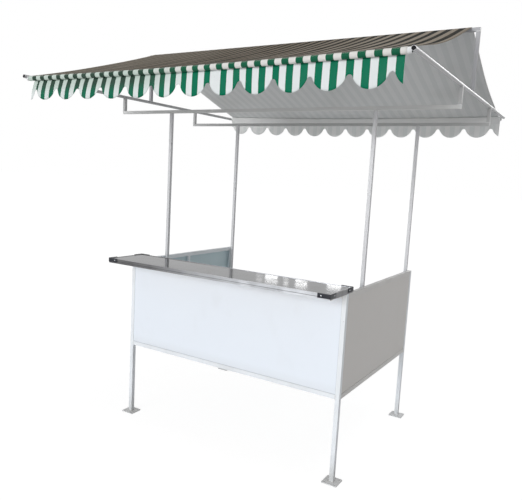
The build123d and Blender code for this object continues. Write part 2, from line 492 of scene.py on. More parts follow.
@dataclass(frozen=True)
class CounterBoard(Finish):
    """Pressed board under the counter's metal sheet, sealed with thin varnish.

    Attributes:
        chip: colour of pale chips.
        glue: colour of dark chips.
    """

    chip: Colour = paint(196, 168, 126)
    glue: Colour = paint(140, 108, 72)

    def build(self) -> Material:
        """Makes the material.

        Returns:
            The material.
        """
        shader = Shader(self.name)
        place = shader.place()
        cells = shader.node("ShaderNodeTexVoronoi")
        shader.feed(cells.inputs["Vector"], shader.stretched(place, (150.0, 260.0, 260.0)))
        cells.inputs["Scale"].default_value = 1.0
        flakes = shader.split(cells.outputs["Color"])[0]
        fibres = shader.noise(shader.stretched(place, (60.0, 420.0, 420.0)), 1.0, 4.0)
        mixed = shader.math("MULTIPLY", shader.math("ADD", flakes, fibres), 0.5)
        colour = shader.blend(mixed, self.chip, self.glue)
        normal = shader.bump(mixed, 0.25 * MM)
        gloss = shader.rescaled(mixed, (0.2, 0.8), (0.5, 0.75))
        shader.set(Base_Color=colour, Roughness=gloss, Normal=normal)
        return shader.material


@dataclass(frozen=True)
class MouldedPlastic(Finish):
    """Fine-grained injection moulded plastic.

    Attributes:
        body: colour of the plastic.
        scuff: colour of rubbed spots.
        roughness: roughness of clean plastic.
        sheen: specular level.
    """

    body: Colour = paint(34, 36, 44)
    scuff: Colour = paint(84, 86, 92)
    roughness: float = 0.34
    sheen: float = 0.5

    def build(self) -> Material:
        """Makes the material.

        Returns:
            The material.
        """
        shader = Shader(self.name)
        place = shader.place()
        rubs = shader.rescaled(shader.noise(place, 55.0, 5.0), (0.58, 0.78), (0.0, 0.6))
        colour = shader.blend(rubs, self.body, self.scuff)
        grain = shader.noise(place, 900.0, 2.0)
        normal = shader.bump(grain, 0.08 * MM, shader.rounded(1.0 * MM))
        gloss = shader.rescaled(rubs, (0.0, 0.6), (self.roughness, self.roughness + 0.2))
        shader.set(Base_Color=colour, Roughness=gloss, Normal=normal, Specular_IOR_Level=self.sheen)
        return shader.material


@dataclass(frozen=True)
class PlatedSteel(Finish):
    """Bright zinc plate on screws, bolts and washers.

    Attributes:
        plate: colour of the plating.
        tarnish: colour of its dull spots.
    """

    plate: Colour = paint(214, 216, 220)
    tarnish: Colour = paint(150, 150, 148)

    def build(self) -> Material:
        """Makes the material.

        Returns:
            The material.
        """
        shader = Shader(self.name)
        place = shader.place()
        spots = shader.noise(place, 240.0, 4.0)
        colour = shader.toned(self.plate, self.tarnish, spots, (0.45, 0.7), (0.0, 0.8))
        gloss = shader.rescaled(spots, (0.3, 0.7), (0.22, 0.42))
        normal = shader.bump(shader.noise(place, 1500.0, 2.0), 0.03 * MM)
        shader.set(Base_Color=colour, Roughness=gloss, Normal=normal, Metallic=1.0)
        return shader.material


@dataclass(frozen=True)
class Stripes:
    """Stripes of equal width across the cloth, white and green by turns.

    Attributes:
        first_white: middle of the first white stripe.
        pitch: one white and one green stripe together.
        join: place across the stall where two lengths of cloth are sewn together.
        join_gap: how far the stripes start later beyond the join.
    """

    first_white: float
    pitch: float = 70.6 * MM
    join: float = OFF_STALL
    join_gap: float = 0.0

    def mask(self, shader: Shader, place: NodeSocket) -> NodeSocket:
        """Tells white stripes from green ones.

        Args:
            shader: where the nodes go.
            place: flat place on the cloth.

        Returns:
            1 on white and 0 on green.
        """
        across = shader.split(place)[0]
        waver = shader.rescaled(shader.noise(place, 30.0), (0.2, 0.8), (-0.5 * MM, 0.5 * MM))
        beyond = shader.math("MULTIPLY", shader.math("GREATER_THAN", across, self.join), self.join_gap)
        shifted = shader.math("SUBTRACT", shader.math("ADD", across, waver), beyond)
        from_start = shader.math("SUBTRACT", shifted, self.first_white - self.pitch / 4)
        turns = shader.math("DIVIDE", from_start, self.pitch)
        return shader.math("LESS_THAN", shader.math("FLOORED_MODULO", turns, 1.0), 0.5)


@dataclass(frozen=True)
class StripedCloth(Finish):
    """Coated striped cloth, on its flat place: x across the stall and y along the cloth.

    Attributes:
        stripes: its stripes.
        shaded_top_reach: half length of the cloth, from the ridge, that lies open on top, where the
        stripes are in painted shade with grimy marks; below 0 where none does.
        selvedge: place at the -X end that the cloth is white up to.
        hem: length down the cloth, from the ridge or the top edge, to a stitched line.
        thread: colour of its stitches.
        sheen: specular level of the coat.
        white: colour of a clean white stripe.
        green: colour of a clean green stripe.
        shaded_white: colour of a white stripe in painted shade, towards the -X end and near the top, under
            the bar.
        shaded_green: colour of a green stripe in painted shade, towards the -X end and near the top, under
            the bar.
        top_shade_white: colour of a white stripe on the open top, in painted shade.
        top_shade_green: colour of a green stripe on the open top, in painted shade.
        haze: colour of the film on clean cloth.
        streak: colour of the grimy runs down the open top.
        grit: colour of the grime between the threads.
        top_shade_tint: colour multiplied into the open top as painted shade, least at the +X end.
        left_light_tint: colour that pales the open top towards the -X end, as painted light.
    """

    stripes: Stripes
    shaded_top_reach: float
    selvedge: float = -OFF_STALL
    hem: float = OFF_STALL
    thread: Colour = paint(186, 188, 178)
    sheen: float = 0.06
    white: Colour = paint(223, 227, 227)
    green: Colour = paint(4, 110, 80)
    shaded_white: Colour = paint(190, 204, 195)
    shaded_green: Colour = paint(50, 68, 58)
    top_shade_white: Colour = paint(160, 151, 138)
    top_shade_green: Colour = paint(18, 21, 17)
    haze: Colour = paint(120, 140, 130)
    streak: Colour = paint(96, 88, 78)
    grit: Colour = paint(40, 36, 32)
    top_shade_tint: Colour = paint(190, 184, 175)
    left_light_tint: Colour = paint(166, 160, 148)

    def build(self) -> Material:
        """Makes the material.

        Returns:
            The material.
        """
        shader = Shader(self.name)
        place = shader.flat_place()
        across, along, _ = shader.split(place)
        is_white = self.stripes.mask(shader, place)
        is_white = shader.math("MAXIMUM", is_white, shader.math("LESS_THAN", across, self.selvedge))
        clouds = shader.noise(place, 5.0, 4.0)
        runs = shader.noise(shader.stretched(place, (1.0, 0.06, 1.0)), 38.0, 4.0)
        fresh = shader.blend(is_white, self.green, self.white)
        dull = shader.blend(is_white, self.shaded_green, self.shaded_white)
        # Painted shade: the clean stripes darken towards the -X end and near the top, under the bar.
        shade_to_left = shader.rescaled(across, (-0.35, 0.15), (0.95, 0.0))
        upper = shader.rescaled(along, (0.05, 0.12), (1.0, 0.2))
        fresh = shader.blend(shader.math("MULTIPLY", shade_to_left, upper), fresh, dull)
        fresh = shader.toned(fresh, self.haze, clouds, (0.45, 0.85), (0.0, 0.10))
        # The open top: stripes in painted shade, with grimy runs and grime between the threads.
        old = shader.blend(is_white, self.top_shade_green, self.top_shade_white)
        old = shader.toned(old, self.streak, runs, (0.42, 0.75), (0.0, 0.32))
        threads = shader.noise(shader.stretched(place, (420.0, 5.0, 1.0)), 1.0, 2.0)
        old = shader.toned(old, self.grit, threads, (0.35, 0.7), (0.22, 0.0))
        # Painted shade across the open top, least at the +X end, and painted light towards the -X end.
        old = shader.toned(old, self.top_shade_tint, across, (0.0, 0.9), (0.9, 0.2), "MULTIPLY")
        old = shader.toned(old, self.left_light_tint, across, (-1.0, 0.0), (0.16, 0.0))
        distance = shader.math("ABSOLUTE", along)
        fade = shader.rescaled(distance, (self.shaded_top_reach - 4 * MM, self.shaded_top_reach + 2 * MM), (1.0, 0.0))
        sewn = stitches(shader, shader.math("SUBTRACT", distance, self.hem), across)
        colour = shader.blend(sewn, shader.blend(fade, fresh, old), self.thread)
        gloss = shader.rescaled(fade, (0.0, 1.0), (0.30, 0.72))
        gloss = shader.math("ADD", gloss, shader.rescaled(clouds, (0.35, 0.75), (0.0, 0.12)))
        normal = shader.bump(weave(shader, place), 0.10 * MM, shader.bump(clouds, 1.5 * MM))
        shader.set(Base_Color=colour, Roughness=gloss, Normal=normal, Specular_IOR_Level=self.sheen)
        return shader.material


@dataclass(frozen=True)
class ClothBacking(Finish):
    """Pale inner side of the cloth, where the stripes show through a little.

    Attributes:
        stripes: stripes of its outer side.
        lining: length from the cloth's top edge that a second layer lines, which hides the stripes.
        lit: colour behind a white stripe.
        dim: colour behind a green stripe.
        lined: colour of the doubled part.
        stain: colour of its stains.
        right_end_shade: colour that it darkens to towards the +X end, as painted shade.
    """

    stripes: Stripes
    lining: float
    # The default colours are greyer than a valance's backing of the same cloth, as painted shade on the
    # cover's underside.
    lit: Colour = paint(218, 219, 219)
    dim: Colour = paint(210, 212, 212)
    lined: Colour = paint(206, 207, 206)
    stain: Colour = paint(150, 150, 140)
    right_end_shade: Colour = paint(112, 115, 118)

    def build(self) -> Material:
        """Makes the material.

        Returns:
            The material.
        """
        shader = Shader(self.name)
        place = shader.flat_place()
        across, along, _ = shader.split(place)
        clouds = shader.noise(place, 2.2, 5.0)
        through = shader.blend(self.stripes.mask(shader, place), self.dim, self.lit)
        colour = shader.blend(shader.math("LESS_THAN", along, self.lining), through, self.lined)
        colour = shader.toned(colour, self.stain, clouds, (0.42, 0.72), (0.0, 0.14))
        # Painted shade: darker towards the +X end.
        colour = shader.toned(colour, self.right_end_shade, across, (0.6, 1.2), (0.0, 0.24))
        normal = shader.bump(weave(shader, place), 0.16 * MM, shader.bump(clouds, 2.0 * MM))
        gloss = shader.rescaled(clouds, (0.3, 0.7), (0.55, 0.72))
        shader.set(Base_Color=colour, Roughness=gloss, Normal=normal)
        return shader.material


def stitches(shader: Shader, off_line: NodeSocket, run: NodeSocket) -> NodeSocket:
    """Marks the stitches of a sewn line.

    Args:
        shader: where the nodes go.
        off_line: distance from the line.
        run: length along it.

    Returns:
        1 on the stitches and 0 beside them.
    """
    on_line = shader.math("LESS_THAN", shader.math("ABSOLUTE", off_line), 0.5 * MM)
    dash = shader.math("LESS_THAN", shader.math("FLOORED_MODULO", run, 4.5 * MM), 3.2 * MM)
    return shader.math("MULTIPLY", on_line, dash)


def weave(shader: Shader, place: NodeSocket) -> NodeSocket:
    """Gives the height of the cloth's threads under the coat.

    Args:
        shader: where the nodes go.
        place: flat place on the cloth.

    Returns:
        Height from 0 to 1.
    """
    heights = []
    for direction in ("X", "Y"):
        made = shader.node("ShaderNodeTexWave", bands_direction=direction)
        shader.feed(made.inputs["Vector"], place)
        made.inputs["Scale"].default_value = 270.0
        heights.append(made.outputs["Fac"])
    return shader.math("MULTIPLY", *heights)


# ---- meshes ----------------------------------------------------------------------------------


def dress(node: str, material: Material) -> None:
    """Gives a CAD node its finish.

    Args:
        node: the node.
        material: its finish.
    """
    for slot in bpy.data.objects[node].material_slots:
        slot.material = material
    log.info("%s: %s", node, material.name)


def make_piece(
    shape: BMesh, name: str, slot: Slot, materials: Sequence[Material], sharp: float = 35.0
) -> Object:
    """Turns a finished shape into a piece of the stall.

    Args:
        shape: the shape, in its place. It is freed.
        name: the piece's name.
        slot: record slot of its finish; not used.
        materials: materials of its mesh.
        sharp: least angle, in degrees, of an edge that stays sharp.

    Returns:
        The piece.
    """
    mesh = bpy.data.meshes.new(name)
    shape.to_mesh(mesh)
    shape.free()
    for material in materials:
        mesh.materials.append(material)
    mesh.shade_smooth()
    mesh.set_sharp_from_angle(angle=math.radians(sharp))
    piece = bpy.data.objects.new(name, mesh)
    bpy.context.scene.collection.objects.link(piece)
    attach(piece, ROOT)
    return piece


def give_wall(piece: Object, thickness: float, offset: float = 0.0, inner: int = 1, group: str = "") -> None:
    """Thickens a sheet or a shell.

    Args:
        piece: what is thickened.
        thickness: thickness of the wall.
        offset: -1 for a wall under the surface, 0 for one on both sides of it.
        inner: how many materials later the inner side's one comes.
        group: vertex group that thins the wall.
    """
    wall = piece.modifiers.new("wall", "SOLIDIFY")
    wall.thickness = thickness
    wall.offset = offset
    wall.vertex_group = group
    wall.material_offset = inner


def facing(place: Vector, direction: Vector) -> Matrix:
    """Turns a shape's +Z side to a direction.

    Args:
        place: where its origin goes.
        direction: where its +Z side looks.

    Returns:
        The transform.
    """
    return Matrix.Translation(place) @ direction.to_track_quat("Z", "Y").to_matrix().to_4x4()


def add_cylinder(
    shape: BMesh, radius: float, depth: float, place: Matrix, sides: int = 32, closed: bool = True
) -> None:
    """Adds a cylinder along its own Z.

    Args:
        shape: where it goes.
        radius: its radius.
        depth: its length.
        place: its transform.
        sides: faces round it.
        closed: whether its ends are closed.
    """
    bmesh.ops.create_cone(
        shape, cap_ends=closed, segments=sides, radius1=radius, radius2=radius, depth=depth, matrix=place
    )


def soften(shape: BMesh, edges: Sequence[BMEdge], reach: float, steps: int = 2) -> None:
    """Rounds edges.

    Args:
        shape: the shape that they are in.
        edges: the edges.
        reach: width of the rounding.
        steps: number of its facets.
    """
    bmesh.ops.bevel(
        shape, geom=list(edges), offset=reach, affect="EDGES", segments=steps, profile=0.5, material=-1
    )


def join(target: BMesh, shape: BMesh, place: Matrix) -> None:
    """Moves a small shape to its place and adds it to a larger one.

    Args:
        target: the larger shape.
        shape: the small one. It is freed.
        place: its transform.
    """
    shape.transform(place)
    mesh = bpy.data.meshes.new("part")
    shape.to_mesh(mesh)
    shape.free()
    target.from_mesh(mesh)
    bpy.data.meshes.remove(mesh)


def lay_flat(shape: BMesh, places: dict[int, tuple[float, float]]) -> None:
    """Stores where each vertex lies on the flat cloth as the shape's UV map.

    Args:
        shape: the cloth.
        places: the flat place of each vertex, by its index.
    """
    flat = shape.loops.layers.uv.new("flat")
    for face in shape.faces:
        for loop in face.loops:
            loop[flat].uv = places[loop.vert.index]


def swell(x: float, *waves: tuple[float, float, float]) -> float:
    """Adds up waves, each with its height, radians in a metre and start in radians."""
    return sum(height * math.sin(rate * x + start) for height, rate, start in waves)


def held(value: float) -> float:
    """Holds a value from 0 to 1."""
    return min(max(value, 0.0), 1.0)


def ends(low: float, high: float) -> tuple[Span, Span]:
    """Gives both ends of a range, each with the sign of its direction."""
    return (low, -1.0), (high, 1.0)


def box_of(node: str) -> tuple[Vector, Vector]:
    """Gives the lowest and highest corner of a CAD node."""
    low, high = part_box(node)
    return Vector(low), Vector(high)


def middle(node: str) -> Vector:
    """Gives the middle of a CAD node's box."""
    low, high = box_of(node)
    return (low + high) / 2


@dataclass(frozen=True)
class Bow:
    """How far an eave bar leaves its straight line.

    Attributes:
        span: distance from the middle to either end.
        sag: drop of the middle below the ends.
        lift: rise of both ends.
        tilt: rise of the +X end and fall of the -X end.
    """

    span: float
    sag: float
    lift: float
    tilt: float

    def rise(self, x: float) -> float:
        """Gives the rise at a place across the stall, below 0 where it hangs."""
        share = x / self.span
        return self.lift + self.tilt * share - self.sag * (1 - share**2)


@dataclass
class EaveBar:
    """Round bar between the end rails, bent a little by the cloth's pull and its own weight.

    Attributes:
        node: CAD node that it stands for.
        bow: its line.
        wall: wall of the tube.
        segments: faces round it.
        rings: faces along it.
    """

    node: str
    bow: Bow
    wall: float = 2.0 * MM
    segments: int = 40
    rings: int = 48

    def build(self, finish: Material) -> Object:
        """Makes the bar.

        Args:
            finish: finish of the tube.

        Returns:
            The piece.
        """
        low, high = box_of(self.node)
        radius = (high.z - low.z) / 2
        shape = bmesh.new()
        place = Matrix.Translation((low + high) / 2) @ Matrix.Rotation(math.pi / 2, 4, "Y")
        add_cylinder(shape, radius, high.x - low.x, place, self.segments, closed=False)
        sides = [edge for edge in shape.edges if abs(edge.verts[0].co.x - edge.verts[1].co.x) > radius]
        bmesh.ops.subdivide_edges(shape, edges=sides, cuts=self.rings - 1)
        for vert in shape.verts:
            vert.co.z += self.bow.rise(vert.co.x)
        piece = make_piece(shape, f"{self.node}_tube", Slot.WHITE_TUBE, (finish,))
        give_wall(piece, self.wall, offset=-1.0, inner=0)
        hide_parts(self.node)
        return piece


@dataclass
class CanopyCover:
    """One cloth over the ridge bar, down both slopes and round both eave bars.

    Attributes:
        front_bow: line of the front bar.
        back_bow: line of the back bar.
        clearance: gap between the cloth's middle layer and the bars.
        thickness: thickness of the cloth.
        hem_thickness: thickness of the folded side hems.
        hem: width of the side hems.
        sag: depth of the slopes' sag.
        left_droop: extra sag of the -X side edge.
        right_droop: extra sag of the +X side edge.
        columns: faces across the stall.
        slope_rows: faces down one slope.
        wrap_rows: faces round one bar.
        ripple: height of the ripples between ridge and eaves.
        edge_pull: how far the side edges draw in between ridge and eaves.
        crown_pull: how far the cloth stops short of the king posts at the ridge.
        edge_reach: how far in from the side edges their droop fades.
        pull_reach: how far in from the side edges their pull fades.
        crown_reach: how far down from the ridge the pull there fades.
    """

    front_bow: Bow
    back_bow: Bow
    clearance: float = 1.05 * MM
    thickness: float = 0.9 * MM
    hem_thickness: float = 2.0 * MM
    hem: float = 24.0 * MM
    sag: float = 16.0 * MM
    left_droop: float = -4.0 * MM
    right_droop: float = 14.0 * MM
    columns: int = 150
    slope_rows: int = 52
    wrap_rows: int = 20
    ripple: float = 2.2 * MM
    edge_pull: float = 5.0 * MM
    crown_pull: float = 7.0 * MM
    edge_reach: float = 0.2
    pull_reach: float = 0.25
    crown_reach: float = 0.10

    def __post_init__(self) -> None:
        """Reads the ridge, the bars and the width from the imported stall."""
        low, high = box_of("ridge_bar")
        bar_low, bar_high = box_of("back_bar")
        self.bar = Vector((0, (bar_low.y + bar_high.y) / 2, (bar_low.z + bar_high.z) / 2))
        self.wrap = (bar_high.z - bar_low.z) / 2 + self.clearance
        self.half_width = box_of("front_cover")[1].x
        self.crest = (high.y - low.y) / 2 + self.clearance
        self.crest_z = high.z + self.clearance
        run, fall = self.bar.y - self.crest, self.crest_z - self.bar.z
        self.pitch = math.atan2(fall, run) - math.acos(self.wrap / math.hypot(run, fall)) + math.pi / 2
        touch_y = self.bar.y + self.wrap * math.sin(self.pitch)
        self.touch = Vector((0, touch_y, self.bar.z + self.wrap * math.cos(self.pitch)))
        self.start = Vector((0, self.crest, self.crest_z))
        self.chord = (self.touch - self.start).length
        self.arc_radius = (self.chord**2 / 4 + self.sag**2) / (2 * self.sag)
        self.half_angle = math.asin(self.chord / 2 / self.arc_radius)
        self.slope = 2 * self.half_angle * self.arc_radius
        self.turn = 1.5 * math.pi - self.pitch
        self.reach = self.crest + self.slope + self.wrap * self.turn

    def at(self, distance: float) -> tuple[Vector, Vector]:
        """Gives a point of the cloth's line in the YZ plane.

        Args:
            distance: length of cloth from the ridge's middle, towards +Y.

        Returns:
            The point and the outward normal.
        """
        if distance <= self.crest:
            return Vector((0, distance, self.crest_z)), Vector((0, 0, 1))
        if distance <= self.crest + self.slope:
            along = (self.touch - self.start).normalized()
            outward = Vector((0, -along.z, along.y))
            angle = (distance - self.crest) / self.arc_radius - self.half_angle
            centre = (self.start + self.touch) / 2 + outward * (self.arc_radius - self.sag)
            spoke = along * math.sin(angle) - outward * math.cos(angle)
            return centre + spoke * self.arc_radius, -spoke
        angle = self.pitch + (distance - self.crest - self.slope) / self.wrap
        spoke = Vector((0, math.sin(angle), math.cos(angle)))
        return self.bar + spoke * self.wrap, spoke

    def share_down(self, distance: float) -> float:
        """Gives how far down the slope a length from the ridge is, from 0 to 1."""
        return held((distance - self.crest) / self.slope)

    def stations(self) -> list[float]:
        """Spaces the rows on one side.

        Returns:
            Their lengths from the ridge.
        """
        rows = [0.0]
        stretches = (self.crest, 2), (self.slope, self.slope_rows), (self.wrap * self.turn, self.wrap_rows)
        for length, count in stretches:
            start = rows[-1]
            rows += [start + length * (index + 1) / count for index in range(count)]
        return rows

    def settle(self, x: float, distance: float) -> tuple[float, float]:
        """Gives the cloth's small moves at a point.

        Args:
            x: flat place across the stall.
            distance: length of cloth from the ridge.

        Returns:
            Move along X and move along the outward normal.
        """
        share = self.share_down(distance)
        free = math.sin(math.pi * share)
        to_edge = self.half_width - abs(x)
        waves = swell(x, (1.0, 17.0, 1.3), (0.6, 31.0, 4.0 * share + 0.4))
        near_bar = math.sin(math.pi * share**3) * swell(x, (0.35, 62.0, 0.7))
        droop = self.right_droop if x > 0 else self.left_droop
        edge = droop * math.exp(-to_edge / self.edge_reach) * free**2
        crown = math.exp(-distance / self.crown_reach)
        pull = (self.edge_pull * free + self.crown_pull * crown) * math.exp(-to_edge / self.pull_reach)
        return -math.copysign(pull, x), self.ripple * free * (0.5 * waves + near_bar) - edge

    def build(self, outside: Material, inside: Material) -> Object:
        """Makes the cloth.

        Args:
            outside: finish of the striped side.
            inside: finish of the side under the canopy.

        Returns:
            The piece.
        """
        half = self.stations()
        rows = [-value for value in reversed(half[1:])] + half
        shape = bmesh.new()
        bmesh.ops.create_grid(shape, x_segments=self.columns, y_segments=len(rows) - 1, size=0.5)
        hem_weight = shape.verts.layers.deform.verify()
        shape.verts.index_update()
        places: dict[int, tuple[float, float]] = {}
        for vert in shape.verts:
            x = 2 * self.half_width * vert.co.x
            station = rows[round((vert.co.y + 0.5) * (len(rows) - 1))]
            side = math.copysign(1.0, station)
            point, normal = self.at(abs(station))
            shift, lift = self.settle(x, abs(station))
            point = point + normal * lift
            bow = self.front_bow if side < 0 else self.back_bow
            fall = bow.rise(x) * self.share_down(abs(station))
            vert.co = (x + shift, side * point.y, point.z + fall)
            in_hem = self.half_width - abs(x) < self.hem
            vert[hem_weight][0] = 1.0 if in_hem else self.thickness / self.hem_thickness
            places[vert.index] = (x, station)
        lay_flat(shape, places)
        piece = make_piece(shape, "canopy_cover", Slot.STRIPED_FABRIC, (outside, inside), sharp=80.0)
        piece.vertex_groups.new(name="hem")
        give_wall(piece, self.hem_thickness, group="hem")
        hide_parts("front_cover", "back_cover")
        return piece


@dataclass
class ScallopedValance:
    """Strip of cloth sewn under an eave bar, with a scalloped lower edge.

    Attributes:
        node: CAD node that it stands for.
        bar: CAD node of its bar; not used.
        outward: 1 where it faces +Y, else -1.
        pitch: width of one scallop.
        left_part: width of the part scallop at the -X end.
        flat_area: area of the cut cloth; not used.
        bow: line of its bar.
        depth: height of the scallops.
        notch_radius: radius of the notches between them.
        thickness: thickness of the cloth.
        columns: faces across the stall.
        rows: faces from top to bottom.
        sway: how far the lower edge waves out of line.
        belly: how far each scallop bulges outwards.
        blown: how far the -X end is blown outwards.
        blown_from: place across the stall that the wind reaches.
        blown_over: length over which it grows to its full push, towards -X.
        skew: how much longer the strip hangs at the +X end, and shorter at the -X end.
        shear: how far the -X end's top edge is drawn towards +X.
        trim: how much the +X end is cut back.
        narrow_end: whether the part scallop at the -X end is a narrow one of full depth.
    """

    node: str
    bar: str
    outward: int
    pitch: float
    left_part: float
    flat_area: float
    bow: Bow
    depth: float = 62.0 * MM
    notch_radius: float = 15.0 * MM
    thickness: float = 0.9 * MM
    columns: int = 560
    rows: int = 12
    sway: float = 2.5 * MM
    belly: float = 4.0 * MM
    blown: float = 0.0
    blown_from: float = 0.05
    blown_over: float = 0.75
    skew: float = 0.0
    shear: float = 0.0
    trim: float = 0.0
    narrow_end: bool = False

    def __post_init__(self) -> None:
        """Names the piece and reads the strip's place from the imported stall."""
        self.name = f"{self.node}_cloth"
        self.low, self.high = box_of(self.node)
        self.high.x -= self.trim
        self.line_y = (self.low.y + self.high.y) / 2

    def scallop(self, x: float) -> tuple[float, float]:
        """Gives the lower edge over one place.

        Args:
            x: place across the stall.

        Returns:
            Height of the edge over the scallops' lowest point, and the place in the
            scallop from -1 to 1.
        """
        half = self.pitch / 2
        reach = (half**2 + self.depth**2) / (2 * self.depth)
        belly = reach - self.notch_radius
        beyond = x - self.low.x - self.left_part
        if self.narrow_end and beyond < 0:
            beyond *= half / self.left_part
        local = beyond % self.pitch - half
        if abs(local) <= belly * half / reach:
            return belly - math.sqrt(belly**2 - local**2), local / half
        beside = half - abs(local)
        rise = math.sqrt(max(self.notch_radius**2 - beside**2, 0.0))
        return self.depth - self.notch_radius + rise, local / half

    def build(self, outside: Material, inside: Material) -> Object:
        """Makes the strip.

        Args:
            outside: finish of its outer side.
            inside: finish of its inner side.

        Returns:
            The piece.
        """
        width, drop = self.high.x - self.low.x, self.high.z - self.low.z
        shape = bmesh.new()
        bmesh.ops.create_grid(shape, x_segments=self.columns, y_segments=self.rows, size=0.5)
        shape.verts.index_update()
        places: dict[int, tuple[float, float]] = {}
        for vert in shape.verts:
            x = self.low.x + width * (vert.co.x + 0.5)
            edge, local = self.scallop(x)
            length = (drop - edge) * (0.5 - vert.co.y)
            share = length / drop
            wave = swell(x, (1.0, 9.0, 0.8), (0.5, 23.0, 2.0))
            bulge = self.belly * math.cos(local * math.pi / 2) * math.sin(math.pi * min(share, 1.0) * 0.75)
            windward = held((self.blown_from - x) / self.blown_over)
            gust = self.blown * windward * math.sin(0.62 * math.pi * min(share, 1.0))
            out = self.sway * wave * share**1.5 + bulge + gust
            hang = length * (1 + self.skew * x / self.high.x / drop)
            drawn = self.shear * windward * max(1 - share, 0.0) ** 1.4
            vert.co = (x + drawn, self.line_y + self.outward * out, self.high.z + self.bow.rise(x) - hang)
            places[vert.index] = (x, length)
        lay_flat(shape, places)
        if self.outward > 0:
            bmesh.ops.reverse_faces(shape, faces=shape.faces)
        piece = make_piece(shape, self.name, Slot.STRIPED_FABRIC, (outside, inside), sharp=80.0)
        give_wall(piece, self.thickness)
        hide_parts(self.node)
        return piece


@dataclass
class EndPlugs:
    """Plastic plugs with a thin rim, in the ends of the eave bars and of the end rails.

    Attributes:
        bows: line of each eave bar, by its CAD node.
        bar_wall: wall of the eave bars.
        rail_wall: wall of the end rails.
        gap: gap between a plug and its tube.
        length: length of a plug inside the tube.
        dome: how far a plug stands proud of its tube.
    """

    bows: dict[str, Bow]
    bar_wall: float = 2.0 * MM
    rail_wall: float = 1.6 * MM
    gap: float = 0.2 * MM
    length: float = 15.0 * MM
    dome: float = 1.2 * MM

    def add(self, shape: BMesh, end: Vector, outward: Vector, radius: float) -> None:
        """Adds one plug.

        Args:
            shape: where it goes.
            end: middle of the tube's end.
            outward: direction out of the tube.
            radius: inner radius of the tube.
        """
        plug = bmesh.new()
        depth = self.length + self.dome
        add_cylinder(plug, radius - self.gap, depth, Matrix.Identity(4))
        outer = [edge for edge in plug.edges if all(vert.co.z > 0 for vert in edge.verts)]
        soften(plug, outer, 0.9 * self.dome, 3)
        join(shape, plug, facing(end + outward * (self.dome - depth / 2), outward))

    def build(self, finish: Material) -> Object:
        """Makes the eight plugs.

        Args:
            finish: finish of the plastic.

        Returns:
            The piece.
        """
        shape = bmesh.new()
        for node, bow in self.bows.items():
            low, high = box_of(node)
            centre, bore = (low + high) / 2, (high.z - low.z) / 2 - self.bar_wall
            for x, side in ends(low.x, high.x):
                outward = Vector((side, 0, 0))
                end = Vector((x, centre.y, centre.z + bow.rise(x))) - outward * 2 * self.dome
                self.add(shape, end, outward, bore)
        for _, name in SIDES:
            low, high = box_of(f"{name}_end_rail")
            centre, bore = (low + high) / 2, (high.z - low.z) / 2 - self.rail_wall
            for y, side in ends(low.y, high.y):
                self.add(shape, Vector((centre.x, y, centre.z)), Vector((0, side, 0)), bore)
        piece = make_piece(shape, "tube_end_plugs", Slot.BLACK_PLASTIC, (finish,))
        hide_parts("end_plugs")
        return piece


